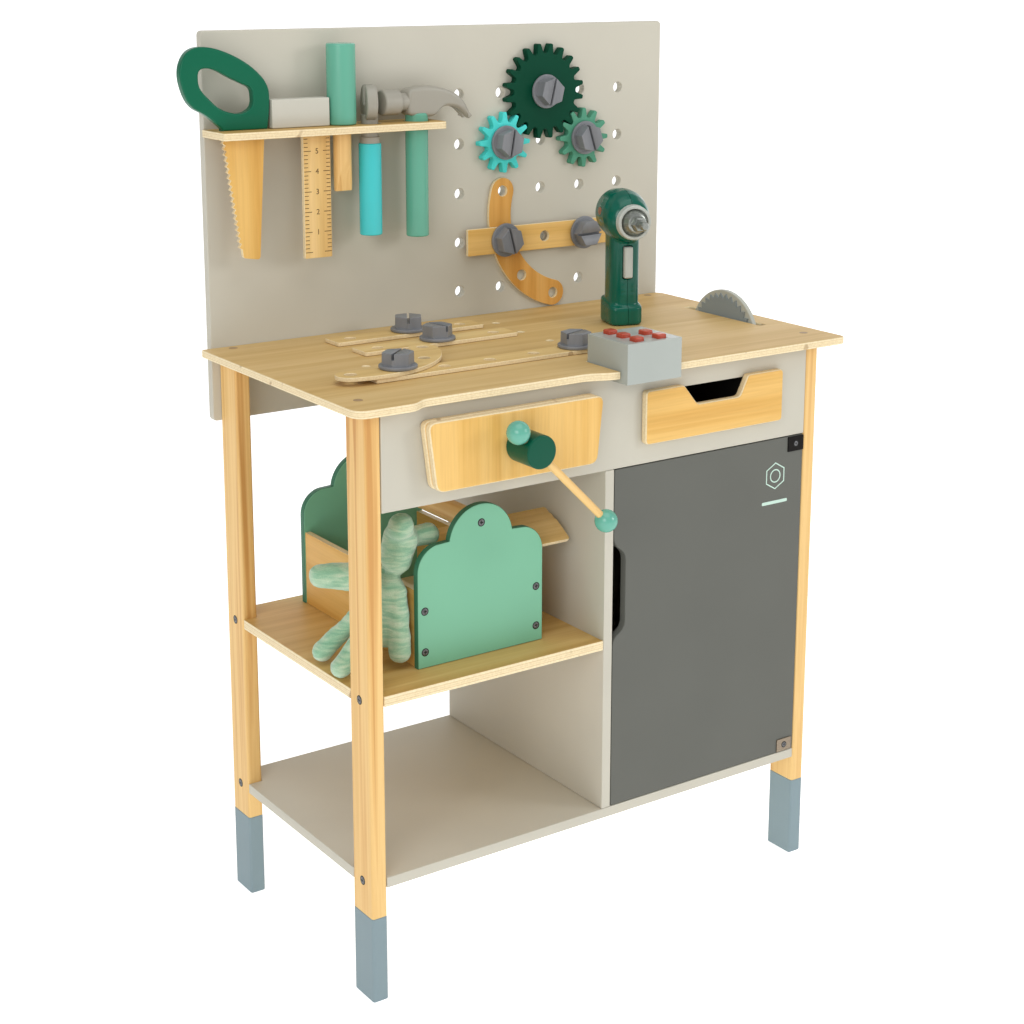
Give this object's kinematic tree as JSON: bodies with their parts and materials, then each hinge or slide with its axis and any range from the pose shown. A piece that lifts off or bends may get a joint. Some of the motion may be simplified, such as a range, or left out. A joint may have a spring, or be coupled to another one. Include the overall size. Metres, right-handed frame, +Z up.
{
  "type": "toy workbench",
  "caption": "Child's wooden workbench with peg board, tool rack, tools, gears, vise, drawer, cupboard, open shelves, tool box and soft rabbit.",
  "frame": {"origin": "centre of the footprint's box, on the floor", "axes": "+Z up, -Y out of the front where the door opens, +X to the right seen from the front"},
  "size_m": [0.6252, 0.3718, 0.9222],
  "materials": {
    "plywood": "clear matt lacquer over light plywood",
    "pine": "clear satin lacquer over solid pine",
    "grey_paint": "satin warm grey paint",
    "dark_grey_paint": "matt dark grey paint",
    "mint_paint": "satin mint paint",
    "cyan_paint": "satin turquoise paint",
    "dark_green_paint": "satin dark green paint",
    "saw_green_paint": "satin bottle green paint",
    "stone_paint": "satin stone grey paint",
    "blue_grey_paint": "glossy blue grey paint",
    "drill_green": "glossy moulded plastic",
    "drill_grey": "satin grey moulded plastic",
    "bolt_grey": "satin moulded plastic",
    "button_red": "glossy red",
    "knit": "heathered mint and white knit"
  },
  "bodies": {
    "root": {"leg_front_left": "pine", "leg_front_right": "pine", "leg_rear_left": "pine", "leg_rear_right": "pine", "bottom_shelf": "grey_paint", "middle_shelf": "plywood", "divider_panel": "grey_paint", "right_side_panel": "grey_paint", "cupboard_back": "grey_paint", "cupboard_ceiling": "grey_paint", "front_apron": "grey_paint", "worktop": "plywood", "peg_board": "grey_paint", "tool_rack": "plywood", "vise_fixed_jaw": "plywood", "control_box": "blue_grey_paint", "board_strip_curved": "plywood", "board_strip_straight": "plywood", "table_strip_a": "plywood", "table_strip_b": "plywood", "table_strip_c": "plywood", "table_strip_curved": "plywood"},
    "door": {"door": "dark_grey_paint"},
    "drawer": {"drawer_front": "plywood", "drawer_tray": "plywood"},
    "vise_jaw": {"vise_moving_jaw": "plywood"},
    "vise_screw": {"vise_screw": "dark_green_paint"},
    "vise_handle": {"vise_handle": "pine"},
    "toolbox": {"toolbox_end_front": "mint_paint", "toolbox_end_rear": "mint_paint", "toolbox_tray": "plywood", "toolbox_handle": "pine", "plank_stack": "plywood"},
    "drill": {"drill_body": "drill_green"},
    "button_1": {"button_1": "button_red"},
    "button_2": {"button_2": "button_red"},
    "button_3": {"button_3": "button_red"},
    "button_4": {"button_4": "button_red"},
    "button_5": {"button_5": "button_red"},
    "circular_saw": {"circular_saw": "blue_grey_paint"},
    "gear_large": {"gear_large": "dark_green_paint"},
    "gear_left": {"gear_left": "cyan_paint"},
    "gear_right": {"gear_right": "mint_paint"},
    "bolt_gear_large": {"bolt_gear_large": "bolt_grey"},
    "bolt_gear_left": {"bolt_gear_left": "bolt_grey"},
    "bolt_gear_right": {"bolt_gear_right": "bolt_grey"},
    "bolt_strip_left": {"bolt_strip_left": "bolt_grey"},
    "bolt_strip_right": {"bolt_strip_right": "bolt_grey"},
    "bolt_table_a": {"bolt_table_a": "bolt_grey"},
    "bolt_table_b": {"bolt_table_b": "bolt_grey"},
    "bolt_table_c": {"bolt_table_c": "bolt_grey"},
    "bolt_table_d": {"bolt_table_d": "bolt_grey"},
    "hand_saw": {"hand_saw": "saw_green_paint"},
    "set_square": {"set_square": "stone_paint"},
    "screwdriver": {"screwdriver": "mint_paint"},
    "wrench": {"wrench": "cyan_paint"},
    "hammer": {"hammer": "stone_paint"},
    "plush_rabbit": {"plush_rabbit": "knit"},
    "drill_trigger": {"drill_trigger": "drill_grey"},
    "drill_chuck": {"drill_chuck": "drill_grey"}
  },
  "joints": [
    {"name": "door_hinge", "type": "hinge", "parent": "root", "child": "door", "pos_m": [0.27568, -0.1294, 0.311], "axis": [0, 0, 1], "range_deg": [0, 105]},
    {"name": "drawer_slide", "type": "slide", "parent": "root", "child": "drawer", "axis": [0, -1, 0], "range_m": [0, 0.15]},
    {"name": "vise_jaw_slide", "type": "slide", "parent": "root", "child": "vise_jaw", "axis": [0, -1, 0], "range_m": [0, 0.024]},
    {"name": "vise_screw_turn", "type": "hinge", "parent": "vise_jaw", "child": "vise_screw", "pos_m": [-0.10932, -0.1664, 0.5435], "axis": [0, -1, 0], "range_deg": [0, 1080]},
    {"name": "vise_handle_slide", "type": "slide", "parent": "vise_screw", "child": "vise_handle", "axis": [-0.7071, 0, 0.7071], "range_m": [0, 0.091]},
    {"name": "button_1_press", "type": "slide", "parent": "root", "child": "button_1", "axis": [0, 0, -1], "range_m": [0, 0.002], "stiffness_N_per_m": 300, "springref_m": -0.0003},
    {"name": "button_2_press", "type": "slide", "parent": "root", "child": "button_2", "axis": [0, 0, -1], "range_m": [0, 0.002], "stiffness_N_per_m": 300, "springref_m": -0.0003},
    {"name": "button_3_press", "type": "slide", "parent": "root", "child": "button_3", "axis": [0, 0, -1], "range_m": [0, 0.002], "stiffness_N_per_m": 300, "springref_m": -0.0003},
    {"name": "button_4_press", "type": "slide", "parent": "root", "child": "button_4", "axis": [0, 0, -1], "range_m": [0, 0.002], "stiffness_N_per_m": 300, "springref_m": -0.0003},
    {"name": "button_5_press", "type": "slide", "parent": "root", "child": "button_5", "axis": [0, 0, -1], "range_m": [0, 0.002], "stiffness_N_per_m": 300, "springref_m": -0.0003},
    {"name": "circular_saw_spin", "type": "hinge", "parent": "root", "child": "circular_saw", "pos_m": [0.28018, 0.0102, 0.5735], "axis": [1, 0, 0], "continuous": true},
    {"name": "gear_large_spin", "type": "hinge", "parent": "root", "child": "gear_large", "pos_m": [0.13796, 0.1656, 0.8477], "axis": [0, -1, 0], "continuous": true},
    {"name": "gear_left_spin", "type": "hinge", "parent": "root", "child": "gear_left", "pos_m": [0.08332, 0.1656, 0.79306], "axis": [0, -1, 0], "continuous": true},
    {"name": "gear_right_spin", "type": "hinge", "parent": "root", "child": "gear_right", "pos_m": [0.1926, 0.1656, 0.79306], "axis": [0, -1, 0], "continuous": true},
    {"name": "bolt_gear_large_turn", "type": "hinge", "parent": "root", "child": "bolt_gear_large", "pos_m": [0.13796, 0.1606, 0.8477], "axis": [0, -1, 0], "continuous": true},
    {"name": "bolt_gear_left_turn", "type": "hinge", "parent": "root", "child": "bolt_gear_left", "pos_m": [0.08332, 0.1606, 0.79306], "axis": [0, -1, 0], "continuous": true},
    {"name": "bolt_gear_right_turn", "type": "hinge", "parent": "root", "child": "bolt_gear_right", "pos_m": [0.1926, 0.1606, 0.79306], "axis": [0, -1, 0], "continuous": true},
    {"name": "bolt_strip_left_turn", "type": "hinge", "parent": "root", "child": "bolt_strip_left", "pos_m": [0.08332, 0.1606, 0.68378], "axis": [0, -1, 0], "continuous": true},
    {"name": "bolt_strip_right_turn", "type": "hinge", "parent": "root", "child": "bolt_strip_right", "pos_m": [0.1926, 0.1606, 0.68378], "axis": [0, -1, 0], "continuous": true},
    {"name": "bolt_table_a_turn", "type": "hinge", "parent": "root", "child": "bolt_table_a", "pos_m": [-0.07132, 0.1176, 0.612], "axis": [0, 0, 1], "continuous": true},
    {"name": "bolt_table_b_turn", "type": "hinge", "parent": "root", "child": "bolt_table_b", "pos_m": [-0.07032, 0.0606, 0.612], "axis": [0, 0, 1], "continuous": true},
    {"name": "bolt_table_c_turn", "type": "hinge", "parent": "root", "child": "bolt_table_c", "pos_m": [0.02768, -0.0504, 0.612], "axis": [0, 0, 1], "continuous": true},
    {"name": "bolt_table_d_turn", "type": "hinge", "parent": "root", "child": "bolt_table_d", "pos_m": [-0.18432, -0.0504, 0.612], "axis": [0, 0, 1], "continuous": true},
    {"name": "hand_saw_lift", "type": "slide", "parent": "root", "child": "hand_saw", "axis": [0, 0, 1], "range_m": [0, 0.14]},
    {"name": "set_square_lift", "type": "slide", "parent": "root", "child": "set_square", "axis": [0, 0, 1], "range_m": [0, 0.14]},
    {"name": "screwdriver_lift", "type": "slide", "parent": "root", "child": "screwdriver", "axis": [0, 0, 1], "range_m": [0, 0.08]},
    {"name": "wrench_lift", "type": "slide", "parent": "root", "child": "wrench", "axis": [0, 0, 1], "range_m": [0, 0.125]},
    {"name": "hammer_lift", "type": "slide", "parent": "root", "child": "hammer", "axis": [0, 0, 1], "range_m": [0, 0.13]},
    {"name": "toolbox_slide", "type": "slide", "parent": "root", "child": "toolbox", "axis": [0, -1, 0], "range_m": [0, 0.185]},
    {"name": "rabbit_slide", "type": "slide", "parent": "root", "child": "plush_rabbit", "axis": [-1, 0, 0], "range_m": [0, 0.3]},
    {"name": "drill_lift", "type": "slide", "parent": "root", "child": "drill", "axis": [0, 0, 1], "range_m": [0, 0.2]},
    {"name": "drill_trigger_pull", "type": "slide", "parent": "drill", "child": "drill_trigger", "axis": [0.2756, 0.9613, 0], "range_m": [0, 0.004], "stiffness_N_per_m": 250, "springref_m": -0.0003},
    {"name": "drill_chuck_spin", "type": "hinge", "parent": "drill", "child": "drill_chuck", "pos_m": [0.14958, 0.01188, 0.716], "axis": [-0.2756, -0.9613, 0], "continuous": true}
  ],
  "couplings": [
    {"joint": "vise_jaw_slide", "follows": "vise_screw_turn", "m_per_rad": 0.0012732},
    {"joint": "gear_left_spin", "follows": "gear_large_spin", "ratio": -1.6667},
    {"joint": "gear_right_spin", "follows": "gear_large_spin", "ratio": -1.6667}
  ]
}
